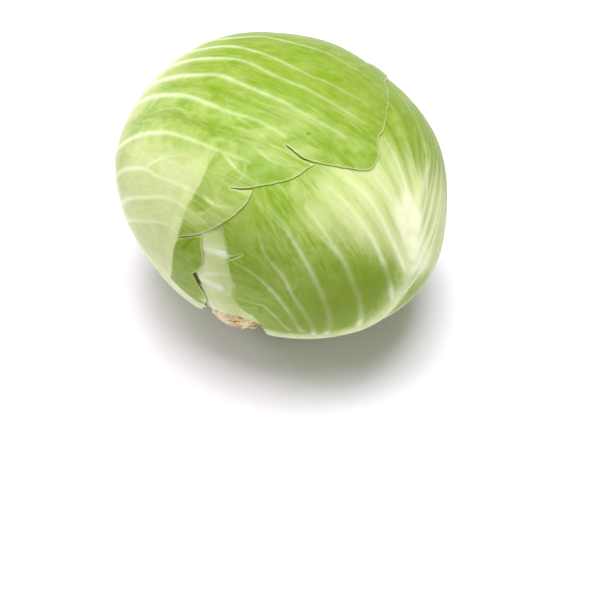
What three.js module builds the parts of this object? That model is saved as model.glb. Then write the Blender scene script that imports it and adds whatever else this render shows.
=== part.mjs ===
// A whole green cabbage lying on its side: a cut stem, the dense heart, and the four outer
// leaves that wrap it, each a closed solid of its own.
// Millimetres and degrees. +Z is up and the surface it lies on is Z = 0.

import * as THREE from 'three';

// Driving dimensions.
const BLADE = 1.0; // thickness of a leaf between its veins
const VEIN = 1.3; // how far a side vein stands out of the blade
const GAP = 0.9; // air between one layer and the next
const LAYER = BLADE + GAP;
const EASE = 0.5; // extra air round the heart, where facets are longest
const SKIN = 4.2; // depth of the wrapping leaves, taken off the outer reach to find the heart
const WAVE = 1.5; // how far a free margin lifts at the top of a wave
const WAVE_TURN = 1.3; // radians of that wave from one column of points to the next
const FACET = 11; // usual length of a facet's side
const REST_HEIGHT = 82; // from the flat spot it lies on up to the middle of the head
const RIM = 6; // how softly the head's side turns into its flat spot
const PRESS = 0.8; // how much more than flat the leaves there are pressed
const REST_ROOM = 0.3; // extra air there over the leaves that leaf_2 covers
const FLAT_LIMIT = 0.5; // the flat spot ends well before directions this far from straight down
const STEM_RADIUS = 16.8;
const STEM_REACH = 78.5; // from the middle of the head to the cut face of the stem
const STEM_ROOT = 62; // where the stem starts, inside the heart
const SOCKET_ANGLE = 15.5; // half the width of the heart's socket for the stem, at its mouth

// Reach of the outer surface from the middle of the head, every 20 degrees from the apex
// (first) to the stem (last), down the left side and down the right side.
const LEFT_REACH = [81.1, 82.4, 84.6, 87, 88.1, 89.4, 84.5, 78.7, 76, 75];
const RIGHT_REACH = [81.1, 79.7, 83.5, 88.6, 91, 93.5, 91.5, 86, 79.5, 75];
const REACH_STEP = 20;
const SWELL = 0.7; // height of the low swells all round the head

// How it lies, and how it is seen: the stem-to-apex line rises from the surface, and is
// square to the line of sight.
const APEX_RISE = 37.4;
const VIEW_AZIMUTH = 24.3;
const VIEW_ELEVATION = 50;
const EYE_DISTANCE = 894;
const PIXEL = 0.5365; // what one pixel of the photograph spans at the middle of the head
const HEAD_PIXEL = [280, 186]; // where the middle of the head is in the photograph
const FRAME_MIDDLE = [300, 300];

// The middle of the head, over the middle of the space that the whole part takes up.
const HEAD_MIDDLE = new THREE.Vector3(-1.2, -0.7, REST_HEIGHT);

const RAD = Math.PI / 180;

function sine(angle) {
  return Math.sin(angle * RAD);
}

function cosine(angle) {
  return Math.cos(angle * RAD);
}

const APEX = new THREE.Vector3(0, cosine(APEX_RISE), sine(APEX_RISE));
const FRONT = new THREE.Vector3(
  sine(VIEW_AZIMUTH) * cosine(VIEW_ELEVATION),
  -cosine(VIEW_AZIMUTH) * cosine(VIEW_ELEVATION),
  sine(VIEW_ELEVATION),
);
const RIGHT = new THREE.Vector3(cosine(VIEW_AZIMUTH), sine(VIEW_AZIMUTH), 0);
const UP = new THREE.Vector3().crossVectors(FRONT, RIGHT);
const SIDE = new THREE.Vector3().crossVectors(APEX, FRONT);

// A direction from the middle of the head. Longitude 0 faces the front and grows to the
// right; latitude 90 is the apex and -90 the stem.
function direction(longitude, latitude) {
  return new THREE.Vector3()
    .addScaledVector(FRONT, cosine(latitude) * cosine(longitude))
    .addScaledVector(SIDE, cosine(latitude) * sine(longitude))
    .addScaledVector(APEX, sine(latitude));
}

function smooth(low, high, value) {
  return THREE.MathUtils.smoothstep(value, low, high);
}

// A value of a list taken at equal steps, on a smooth curve through its points.
function onCurve(list, place) {
  const last = list.length - 1;
  const start = Math.min(Math.floor(place), last - 1);
  const t = place - start;
  const [a, b, c, d] = [-1, 0, 1, 2].map((k) => list[THREE.MathUtils.clamp(start + k, 0, last)]);
  const bend = 2 * a - 5 * b + 4 * c - d + t * (3 * (b - c) + d - a);
  return b + 0.5 * t * (c - a + t * bend);
}

// Reach of the outer surface in a direction.
function outerReach(dir) {
  const fromApex = Math.acos(THREE.MathUtils.clamp(dir.dot(APEX), -1, 1)) / RAD;
  const left = onCurve(LEFT_REACH, fromApex / REACH_STEP);
  const right = onCurve(RIGHT_REACH, fromApex / REACH_STEP);
  const across = dir.dot(SIDE);
  const swell = SWELL * Math.sin(5 * across + 1) * Math.sin(4 * dir.dot(FRONT) + 6 * dir.dot(APEX));
  return (left + right) / 2 + ((right - left) / 2) * across + swell;
}

// Reach in a direction, held above a level surface so many millimetres below the middle.
function held(reach, dir, depth) {
  return dir.z < 0 ? Math.min(reach, depth / -dir.z) : reach;
}

// Reach of the surface that the leaves lie on, pressed flat with a rounded rim where the head
// rests on it.
function heartReach(dir) {
  const round = outerReach(dir) - SKIN;
  const flat = (REST_HEIGHT - 2 * LAYER + PRESS) / Math.max(-dir.z, FLAT_LIMIT);
  const blend = Math.max(RIM - Math.abs(round - flat), 0);
  return Math.min(round, flat) - (blend * blend) / (4 * RIM);
}

// The direction of a point of the head seen at a pixel of the photograph.
function seen(...pixels) {
  const eye = new THREE.Vector3()
    .addScaledVector(FRONT, EYE_DISTANCE)
    .addScaledVector(RIGHT, (FRAME_MIDDLE[0] - HEAD_PIXEL[0]) * PIXEL)
    .addScaledVector(UP, (HEAD_PIXEL[1] - FRAME_MIDDLE[1]) * PIXEL);
  return pixels.map(([x, y]) => {
    const ray = new THREE.Vector3()
      .addScaledVector(RIGHT, (x - HEAD_PIXEL[0]) * PIXEL)
      .addScaledVector(UP, (HEAD_PIXEL[1] - y) * PIXEL)
      .sub(eye)
      .normalize();
    const toMiddle = -eye.dot(ray);
    const missed = eye.lengthSq() - toMiddle * toMiddle;
    const point = new THREE.Vector3();
    let reach = outerReach(FRONT);
    for (let round = 0; round < 8; round += 1) {
      const inFront = Math.sqrt(Math.max(reach * reach - missed, 0));
      point.copy(eye).addScaledVector(ray, toMiddle - inFront).normalize();
      reach = outerReach(point);
    }
    return point;
  });
}

// Directions of points that the photograph doesn't show, as longitude and latitude.
function hidden(...places) {
  return places.map(([longitude, latitude]) => direction(longitude, latitude));
}

// Each leaf is drawn round a middle that lies on its midrib. Its edge goes round that middle
// clockwise as seen from outside, and starts at the point where the midrib leaves the stem.
const LEAVES = [
  {
    // The outermost leaf: over the apex and the left side, torn into four lobes at the front.
    name: 'leaf_1',
    middle: direction(-100, 5),
    edge: [
      ...hidden([-104, -75.5], [-122, -74.5], [-137, -66], [-150, -53], [-163, -38], [-177, -20]),
      ...hidden([171, -2], [157, 18], [144, 36], [118, 52], [84, 60]),
      ...seen([385, 82], [389, 98], [387, 112], [383, 133], [379, 158], [367, 171]),
      ...seen([343, 168], [318, 163], [284, 149], [316, 165], [307, 169], [295, 178], [284, 182]),
      ...seen([261, 187], [254, 189], [232, 184], [250, 196], [247, 204], [238, 213], [222, 224]),
      ...seen([203, 233], [188, 238], [203, 248], [203, 265], [193, 273], [198, 281], [204, 291]),
      ...hidden([-62, -74], [-84, -75.5]),
    ],
    rings: 13,
    liesOn: ['leaf_2', 'leaf_3', 'leaf_4'],
    coveredBy: [],
    ribHeight: 4.5,
    colour: 0xa9c85a,
  },
  {
    // The leaf that wraps the right side and the part that lies on the surface.
    name: 'leaf_2',
    middle: direction(68, -20),
    edge: [
      ...hidden([84, -75.5], [62, -75.5]),
      ...seen([259, 322], [250, 314], [240, 306], [233, 298], [232, 293], [235, 288], [232, 282]),
      ...seen([228, 268], [225, 261], [240, 259], [226, 251], [224, 240], [221, 227]),
      ...hidden([-24, -8], [-20, 8], [-6, 22], [12, 41], [36, 58], [72, 68], [112, 66], [146, 54]),
      ...hidden([170, 36], [-174, 18], [-166, -2], [-156, -22], [-148, -40], [-160, -53]),
      ...hidden([-178, -61], [165, -66], [140, -70], [116, -74]),
    ],
    rings: 13,
    liesOn: ['leaf_3', 'leaf_4'],
    coveredBy: ['leaf_1'],
    ribHeight: 5.5,
    colour: 0x93b544,
  },
  {
    // The pale leaf in the gap between the two, at the lower left.
    name: 'leaf_3',
    middle: direction(-12, -30),
    edge: [
      ...hidden([-40, -75.5]),
      ...seen([203, 299], [190, 294], [178, 282], [174, 262], [178, 240], [185, 215], [197, 190]),
      ...seen([210, 166], [226, 142]),
      ...hidden([-14, 11], [-3, 7], [5, -3], [9, -16], [10, -34], [7, -52], [0, -66], [-12, -75]),
    ],
    rings: 7,
    liesOn: [],
    coveredBy: ['leaf_1', 'leaf_2'],
    ribHeight: 1.5,
    colour: 0xd5e3ac,
  },
  {
    // The leaf under both at the back, whose thick base shows beside the stem.
    name: 'leaf_4',
    middle: direction(172, -28),
    edge: [
      ...hidden([168, -75.5], [130, -75.5], [116, -60], [112, -40], [118, -18], [132, 0]),
      ...hidden([152, 12], [176, 14], [-164, 6], [-150, -10], [-140, -30], [-132, -48]),
      ...hidden([-134, -62], [-150, -75]),
    ],
    rings: 9,
    liesOn: [],
    coveredBy: ['leaf_1', 'leaf_2'],
    ribHeight: 1.5,
    colour: 0xc4d890,
  },
];

// Two directions square to a leaf's middle, the first of them towards the stem.
function bearings(leaf) {
  const toStem = leaf.edge[0].clone().addScaledVector(leaf.middle, -leaf.edge[0].dot(leaf.middle));
  toStem.normalize();
  const across = new THREE.Vector3().crossVectors(toStem, leaf.middle);
  return [toStem, across];
}

// Degrees from a leaf's middle to a direction, and the bearing it lies on.
function polar(leaf, dir) {
  const [toStem, across] = bearings(leaf);
  const away = dir.angleTo(leaf.middle) / RAD;
  const bearing = Math.atan2(dir.dot(across), dir.dot(toStem)) / RAD;
  return { away, bearing: (bearing + 360) % 360 };
}

// How far each leaf reaches on bearings 10 degrees apart, with its tears closed up.
const BEARING_STEP = 10;
const PLATEAU = 11; // degrees past its edge that a leaf still holds up what lies on it
const RAMP = 33; // degrees past its edge where that ends

function measureReach(leaf) {
  const points = leaf.columns.map((dir) => polar(leaf, dir));
  const reach = [];
  for (let bearing = 0; bearing < 360; bearing += BEARING_STEP) {
    const near = points.filter((point) => {
      const turn = Math.abs(((point.bearing - bearing + 540) % 360) - 180);
      return turn < 2 * BEARING_STEP;
    });
    reach.push(Math.max(...near.map((point) => point.away)));
  }
  return reach;
}

// 1 where a leaf holds up or hides what is over or under it, down to 0 clear of it.
function cover(leaf, dir) {
  const { away, bearing } = polar(leaf, dir);
  const place = bearing / BEARING_STEP;
  const next = Math.ceil(place) % leaf.reach.length;
  const edge = THREE.MathUtils.lerp(leaf.reach[Math.floor(place)], leaf.reach[next], place % 1);
  return 1 - smooth(edge + PLATEAU, edge + RAMP, away);
}

function named(name) {
  return LEAVES.find((leaf) => leaf.name === name);
}

// Depth of the leaves between a leaf and the flat spot that the head lies on.
function clearance(leaf) {
  return leaf.coveredBy.includes('leaf_2') ? LAYER + REST_ROOM : 0;
}

// How bare a leaf lies in a direction: 1 in the open, 0 under another leaf.
function bareness(leaf, dir) {
  return leaf.coveredBy.reduce((rest, name) => rest * (1 - cover(named(name), dir)), 1);
}

// Reach of a leaf's inner face: clear of the heart and of every leaf under it.
function innerReach(leaf, dir) {
  const under = leaf.liesOn.reduce((sum, name) => sum + LAYER * cover(named(name), dir), 0);
  return heartReach(dir) + GAP + under;
}

// Height of the midrib over the blade: a ridge from the stem to the leaf's middle and on
// towards its tip, where it fades out.
const RIB_HALF_WIDTH = 9;
const RIB_REACH = 75; // degrees from the middle to where it starts or ends

function ribHeight(leaf, dir) {
  const [toStem, across] = bearings(leaf);
  const offLine = outerReach(dir) * Math.asin(Math.abs(dir.dot(across)));
  const along = (dir.angleTo(leaf.middle) / RAD) * Math.sign(dir.dot(toStem));
  const strength = 0.15 + 0.85 * smooth(-RIB_REACH, RIB_REACH, along);
  return leaf.ribHeight * strength * Math.exp(-((offLine / RIB_HALF_WIDTH) ** 2));
}

// The leaf's edge with its long stretches split, to a count that four divides.
function edgeColumns(leaf) {
  const columns = [];
  leaf.edge.forEach((start, index) => {
    const end = leaf.edge[(index + 1) % leaf.edge.length];
    const length = start.angleTo(end) * outerReach(start);
    const pieces = Math.max(1, Math.round(length / FACET));
    for (let piece = 0; piece < pieces; piece += 1) {
      columns.push(start.clone().lerp(end, piece / pieces).normalize());
    }
  });
  while (columns.length % 4 !== 0) {
    const lengths = columns.map((dir, k) => dir.angleTo(columns[(k + 1) % columns.length]));
    const longest = lengths.indexOf(Math.max(...lengths));
    const next = columns[(longest + 1) % columns.length];
    columns.splice(longest + 1, 0, columns[longest].clone().add(next).normalize());
  }
  return columns;
}

// Degrees of bearing from each column to the nearer of its neighbours.
const VEIN_ROOM = 3.5; // a side vein has its full height with this much room

function columnRoom(leaf) {
  const turns = leaf.columns.map((dir, column) => {
    const next = leaf.columns[(column + 1) % leaf.columns.length];
    return (polar(leaf, next).bearing - polar(leaf, dir).bearing + 360) % 360;
  });
  return turns.map((turn, column) => Math.min(turn, turns.at(column - 1)));
}

// The point of the arc from one direction to another, so far along it.
function onArc(from, to, share) {
  const angle = from.angleTo(to);
  return from
    .clone()
    .multiplyScalar(Math.sin((1 - share) * angle))
    .addScaledVector(to, Math.sin(share * angle))
    .normalize();
}

// What stands out of the blade at a ring and column: side veins on every other column, and
// the midrib.
function relief(leaf, dir, column, share) {
  const height = column % 2 === 0 ? VEIN * smooth(0, VEIN_ROOM, leaf.room[column]) : 0;
  const vein = height * smooth(0.2, 0.4, share) * (1 - smooth(0.9, 1, share));
  return bareness(leaf, dir) * (vein + ribHeight(leaf, dir));
}

// Lift of the margin, which grows over the outer rings and waves along the edge.
function marginLift(leaf, dir, column, share) {
  const wave = 0.5 + 0.5 * Math.sin(column * WAVE_TURN);
  return bareness(leaf, dir) * WAVE * wave * smooth(0.9, 1, share);
}

// A leaf: rings of points from its middle out to its edge, on an inner and an outer face.
// Inner rings take every fourth or second column, so that facets stay about as long.
function leafGeometry(leaf) {
  const { columns } = leaf;
  const rings = [];
  for (let ring = 1; ring <= leaf.rings; ring += 1) {
    const share = ring / leaf.rings;
    const stride = share < 0.16 ? 4 : share < 0.36 ? 2 : 1;
    rings.push({ share, stride });
  }
  const positions = [];
  const triangles = [];
  const faces = [0, 1].map((outside) => {
    const place = (dir, column, share) => {
      const inner = innerReach(leaf, dir) + marginLift(leaf, dir, column, share);
      const reach = outside ? inner + BLADE + relief(leaf, dir, column, share) : inner;
      const depth = REST_HEIGHT - clearance(leaf) - (outside ? 0 : BLADE);
      const point = dir.clone().multiplyScalar(held(reach, dir, depth));
      return positions.push(point.x, point.y, point.z) / 3 - 1;
    };
    const centre = place(leaf.middle, 0, 0);
    const ids = rings.map(({ share, stride }) => {
      const ring = new Map();
      for (let column = 0; column < columns.length; column += stride) {
        const dir = onArc(leaf.middle, columns[column], share);
        ring.set(column, place(dir, column, share));
      }
      return ring;
    });
    return { centre, ids };
  });
  const add = (outside, a, b, c) => triangles.push(...(outside ? [a, b, c] : [a, c, b]));
  faces.forEach(({ centre, ids }, outside) => {
    rings.forEach(({ stride }, ring) => {
      const outer = ids[ring];
      const coarse = ring === 0 ? stride : rings[ring - 1].stride;
      for (let column = 0; column < columns.length; column += coarse) {
        const next = (column + coarse) % columns.length;
        if (ring === 0) {
          add(outside, centre, outer.get(next), outer.get(column));
          continue;
        }
        const inner = ids[ring - 1];
        const middle = stride < coarse ? column + stride : next;
        add(outside, inner.get(column), inner.get(next), outer.get(middle));
        add(outside, inner.get(column), outer.get(middle), outer.get(column));
        if (middle !== next) {
          add(outside, inner.get(next), outer.get(next), outer.get(middle));
        }
      }
    });
  });
  const [innerEdge, outerEdge] = faces.map(({ ids }) => ids[ids.length - 1]);
  for (let column = 0; column < columns.length; column += 1) {
    const next = (column + 1) % columns.length;
    triangles.push(innerEdge.get(column), outerEdge.get(column), outerEdge.get(next));
    triangles.push(innerEdge.get(column), outerEdge.get(next), innerEdge.get(next));
  }
  return solid(positions, triangles);
}

function solid(positions, triangles) {
  const geometry = new THREE.BufferGeometry();
  geometry.setAttribute('position', new THREE.Float32BufferAttribute(positions, 3));
  geometry.setIndex(triangles);
  geometry.computeVertexNormals();
  return geometry;
}

// A closed solid of rings of points round the stem-to-apex line, from the apex end to the
// stem end, with a point at each end.
function ringSolid(first, rings, last) {
  const columns = rings[0].length;
  const points = [first, ...rings.flat(), last];
  const triangles = [];
  const at = (ring, column) => 1 + ring * columns + (column % columns);
  for (let column = 0; column < columns; column += 1) {
    triangles.push(0, at(0, column), at(0, column + 1));
    for (let ring = 1; ring < rings.length; ring += 1) {
      triangles.push(at(ring - 1, column), at(ring, column), at(ring, column + 1));
      triangles.push(at(ring - 1, column), at(ring, column + 1), at(ring - 1, column + 1));
    }
    triangles.push(at(rings.length - 1, column), points.length - 1, at(rings.length - 1, column + 1));
  }
  const positions = points.flatMap((point) => point.toArray());
  return solid(positions, triangles);
}

// A point beside the stem-to-apex line: so far out from it, and so far down towards the stem.
function beside(longitude, out, down) {
  return direction(longitude, 0).multiplyScalar(out).addScaledVector(APEX, -down);
}

// The heart: the dense inner head, with the socket that the stem fills.
const HEART_COLUMNS = 36;
const HEART_ROWS = 20;
const SOCKET_CLEARANCE = 0.5;

function heartGeometry() {
  const longitudes = Array.from({ length: HEART_COLUMNS }, (_, k) => (k * 360) / HEART_COLUMNS);
  const rings = [];
  for (let row = 1; row <= HEART_ROWS; row += 1) {
    const latitude = 90 - (row * (180 - SOCKET_ANGLE)) / HEART_ROWS;
    rings.push(
      longitudes.map((longitude) => {
        const dir = direction(longitude, latitude);
        return dir.multiplyScalar(heartReach(dir) - EASE);
      }),
    );
  }
  const socket = STEM_RADIUS * (1 + STEM_UNEVEN) + SOCKET_CLEARANCE;
  const floor = STEM_ROOT - SOCKET_CLEARANCE;
  rings.push(longitudes.map((longitude) => beside(longitude, socket, floor)));
  const first = APEX.clone().multiplyScalar(heartReach(APEX) - EASE);
  return ringSolid(first, rings, APEX.clone().multiplyScalar(-floor));
}

// The stem: a short thick stump, uneven round its side, cut off square.
const STEM_COLUMNS = 24;
const STEM_UNEVEN = 0.04;
const STEM_PROFILE = [
  [0.9, STEM_ROOT],
  [1, STEM_ROOT + 3],
  [1, STEM_REACH - 5],
  [0.97, STEM_REACH - 3],
  [1, STEM_REACH - 1.4],
  [0.94, STEM_REACH - 0.2],
  [0.5, STEM_REACH],
];

function stemGeometry() {
  const rings = STEM_PROFILE.map(([share, down], ring) =>
    Array.from({ length: STEM_COLUMNS }, (_, k) => {
      const longitude = (k * 360) / STEM_COLUMNS;
      const bump = Math.sin(3 * longitude * RAD + 0.5) + Math.sin(7 * longitude * RAD + 0.6 * ring);
      return beside(longitude, STEM_RADIUS * share * (1 + (STEM_UNEVEN * bump) / 2), down);
    }),
  );
  const first = APEX.clone().multiplyScalar(-STEM_ROOT);
  return ringSolid(first, rings, APEX.clone().multiplyScalar(-STEM_REACH));
}

function piece(name, geometry, colour, roughness) {
  const material = new THREE.MeshStandardMaterial({ color: colour, roughness, metalness: 0 });
  const mesh = new THREE.Mesh(geometry, material);
  mesh.name = name;
  mesh.position.copy(HEAD_MIDDLE);
  return mesh;
}

LEAVES.forEach((leaf) => {
  leaf.columns = edgeColumns(leaf);
  leaf.room = columnRoom(leaf);
  leaf.reach = measureReach(leaf);
});

const cabbage = new THREE.Group();
cabbage.add(piece('stem', stemGeometry(), 0xd9c9a0, 0.85));
cabbage.add(piece('heart', heartGeometry(), 0xdfe8bd, 0.5));
LEAVES.forEach((leaf) => cabbage.add(piece(leaf.name, leafGeometry(leaf), leaf.colour, 0.45)));

export default cabbage;
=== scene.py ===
import math
from functools import partial

import bpy
import numpy as np
from mathutils import Matrix, Vector
from mathutils.geometry import delaunay_2d_cdt


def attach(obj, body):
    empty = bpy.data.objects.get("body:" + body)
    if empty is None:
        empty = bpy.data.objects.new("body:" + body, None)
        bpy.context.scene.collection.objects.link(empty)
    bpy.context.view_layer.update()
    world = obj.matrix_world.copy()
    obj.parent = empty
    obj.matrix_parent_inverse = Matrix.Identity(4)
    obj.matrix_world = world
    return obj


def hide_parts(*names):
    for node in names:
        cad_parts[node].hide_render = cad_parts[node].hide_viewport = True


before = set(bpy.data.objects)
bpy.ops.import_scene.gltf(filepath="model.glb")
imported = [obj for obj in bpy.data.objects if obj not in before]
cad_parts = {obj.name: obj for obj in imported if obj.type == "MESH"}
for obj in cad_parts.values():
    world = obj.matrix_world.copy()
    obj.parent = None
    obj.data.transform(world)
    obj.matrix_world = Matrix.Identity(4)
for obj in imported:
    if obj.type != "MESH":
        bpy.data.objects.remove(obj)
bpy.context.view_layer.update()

# A whole green cabbage lying on its side. Four wrapper leaves cover a dense heart with a cut
# stem low at the front. Shapes are worked out in millimetres from the middle of the head and
# turned to metres where a mesh is made.
MM = 0.001
RAD = math.pi / 180

# Size and place of the head, as its solids have them.
REST_HEIGHT = 82.0
HEAD_MIDDLE = np.array([-1.2, -0.7, REST_HEIGHT])
LEFT_REACH = [81.1, 82.4, 84.6, 87, 88.1, 89.4, 84.5, 78.7, 76, 75]
RIGHT_REACH = [81.1, 79.7, 83.5, 88.6, 91, 93.5, 91.5, 86, 79.5, 75]
REACH_STEP = 20
SWELL = 0.7
APEX_RISE = 37.4
VIEW_AZIMUTH = 24.3
VIEW_ELEVATION = 50
EYE_DISTANCE = 894
PIXEL = 0.5365
HEAD_PIXEL = np.array([280, 186])
FRAME_MIDDLE = np.array([300, 300])
STEM_RADIUS = 16.8
STEM_REACH = 78.5
STEM_ROOT = 62

# Thickness of what wraps the heart, thinner and closer than in the solids.
SKIN = 1.5  # from the outer reach in to the surface that the leaves lie on
BLADE = 0.85
GAP = 0.25
LAYER = BLADE + GAP
EDGE_ROUND = 0.4  # width of the rounded edge of a blade
EDGE_INSET = 0.3  # from the edge to the first points in from it
EDGE_SHARE = 0.3  # thickness of a blade at its margin, as a share of the rest
CURL = 5.0  # width of the lifted margin
FLAT_BLEND = 6  # how softly the round head goes over to the flat that it rests on
PRESS = 0.8  # how much less than their thickness the leaves take up under the head
FLAT_LIMIT = 0.5  # least downward share of a direction for which the flat is worked out
MEAN_REACH = 86

POINT_SPACING = 0.88
UNDERSIDE_SPACING = 4.5
EDGE_SPACING = 0.8
FINE_EDGE_SPACING = 0.3  # of the points that distances to an edge are measured from
RAGGED_WAVES = (3, 4.7, 8, 13, 21)  # lengths of the waves of a torn edge
LIFT_WAVES = (17, 29)  # and of a margin that lifts more or less


def unit(vectors):
    return vectors / np.linalg.norm(vectors, axis=-1, keepdims=True)


def sine(angle):
    return np.sin(np.asarray(angle) * RAD)


def cosine(angle):
    return np.cos(np.asarray(angle) * RAD)


APEX = np.array([0, cosine(APEX_RISE), sine(APEX_RISE)])
FRONT = np.array([
    sine(VIEW_AZIMUTH) * cosine(VIEW_ELEVATION),
    -cosine(VIEW_AZIMUTH) * cosine(VIEW_ELEVATION),
    sine(VIEW_ELEVATION),
])
RIGHT = np.array([cosine(VIEW_AZIMUTH), sine(VIEW_AZIMUTH), 0])
UP = np.cross(FRONT, RIGHT)
SIDE = np.cross(APEX, FRONT)


def smooth(low, high, value):
    t = np.clip((value - low) / (high - low), 0, 1)
    return t * t * (3 - 2 * t)


def direction(longitude, latitude):
    """Directions from the middle of the head. Longitude 0 faces the camera and grows to the
    right; latitude 90 is the apex and -90 the stem."""
    flat = cosine(latitude)[..., None]
    across = cosine(longitude)[..., None] * FRONT + sine(longitude)[..., None] * SIDE
    return flat * across + sine(latitude)[..., None] * APEX


def on_curve(values, place):
    """A list's value at a place between its steps, on a smooth curve through its points."""
    values = np.asarray(values, float)
    last = len(values) - 1
    start = np.clip(np.floor(place).astype(int), 0, last - 1)
    t = (place - start).reshape((-1,) + (1,) * (values.ndim - 1))
    a, b, c, d = (values[np.clip(start + k, 0, last)] for k in (-1, 0, 1, 2))
    bend = 2 * a - 5 * b + 4 * c - d + t * (3 * (b - c) + d - a)
    return b + 0.5 * t * (c - a + t * bend)


def outer_reach(dirs):
    """Reach of the outer surface of the head in some directions."""
    from_apex = np.arccos(np.clip(dirs @ APEX, -1, 1)) / RAD
    left = on_curve(LEFT_REACH, from_apex / REACH_STEP)
    right = on_curve(RIGHT_REACH, from_apex / REACH_STEP)
    across = dirs @ SIDE
    swell = SWELL * np.sin(5 * across + 1) * np.sin(4 * dirs @ FRONT + 6 * dirs @ APEX)
    return (left + right) / 2 + (right - left) / 2 * across + swell


def core_reach(dirs):
    """Reach of the surface that the leaves lie on, pressed flat where the head rests."""
    round_reach = outer_reach(dirs) - SKIN
    flat = REST_HEIGHT - 2 * LAYER + PRESS
    flat_reach = flat / np.maximum(-dirs[:, 2], FLAT_LIMIT)
    blend = np.maximum(FLAT_BLEND - np.abs(round_reach - flat_reach), 0)
    return np.minimum(round_reach, flat_reach) - blend**2 / (4 * FLAT_BLEND)


def held(reach, dirs, depth):
    """Reach, kept above a level surface so many millimetres below the middle."""
    limit = depth / np.maximum(-dirs[:, 2], 0.01)
    return np.where(dirs[:, 2] < 0, np.minimum(reach, limit), reach)


def seen(*pixels):
    """Directions of the points of the head seen at pixels of the photograph."""
    pixels = np.array(pixels, float)
    offset = (FRAME_MIDDLE - HEAD_PIXEL) * PIXEL
    eye = FRONT * EYE_DISTANCE + RIGHT * offset[0] - UP * offset[1]
    place = (pixels - HEAD_PIXEL) * PIXEL
    rays = unit(place[:, :1] * RIGHT - place[:, 1:] * UP - eye)
    to_middle = -rays @ eye
    missed = eye @ eye - to_middle**2
    reach = np.full(len(pixels), outer_reach(FRONT[None])[0])
    for _ in range(8):
        in_front = np.sqrt(np.maximum(reach**2 - missed, 0))
        dirs = unit(eye + rays * (to_middle - in_front)[:, None])
        reach = outer_reach(dirs)
    return dirs


def hidden(*places):
    """Directions of points that the photograph doesn't show, as longitude and latitude."""
    longitude, latitude = np.array(places, float).T
    return direction(longitude, latitude)


def ring_through(corners, spacing, passes):
    """Directions about so many millimetres apart along a closed line through corners, eased
    at the corners, and each one's place as a fraction of the corners' count."""
    dirs, places = [], []
    for k, (start, end) in enumerate(zip(corners, np.roll(corners, -1, axis=0))):
        length = np.linalg.norm(end - start) * MEAN_REACH
        steps = np.arange(max(1, round(length / spacing)))
        share = steps / len(steps)
        dirs.append(start + (end - start) * share[:, None])
        places.append(k + share)
    dirs = np.concatenate(dirs)
    for _ in range(passes):
        dirs = (np.roll(dirs, 1, axis=0) + 2 * dirs + np.roll(dirs, -1, axis=0)) / 4
    return unit(dirs), np.concatenate(places)


def curve_through(*stretches, spacing=1.0):
    """Directions about so many millimetres apart on a smooth curve through some points."""
    corners = np.concatenate(stretches)
    lengths = np.linalg.norm(np.diff(corners, axis=0), axis=1) * MEAN_REACH
    reached = np.concatenate([[0], np.cumsum(lengths)])
    steps = np.linspace(0, reached[-1], max(2, round(reached[-1] / spacing)))
    return unit(on_curve(corners, np.interp(steps, reached, np.arange(len(corners)))))


def nearest(dirs, samples):
    """Which sample lies nearest each direction, and how many millimetres away it is."""
    parts = np.array_split(dirs, 1 + len(dirs) // 4000)
    index = np.concatenate([np.argmax(part @ samples.T, axis=1) for part in parts])
    chord = np.linalg.norm(dirs - samples[index], axis=1)
    return index, chord * MEAN_REACH


def waver(length, count, waves, random):
    """A smooth random line of values about 0, for points in a ring of that length."""
    place = np.arange(count) * 2 * math.pi / count
    total = np.zeros(count)
    for wave in waves:
        turns = max(1, round(length / wave))
        total += np.sin(turns * place + random.uniform(0, 2 * math.pi))
    return total / len(waves)


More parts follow.
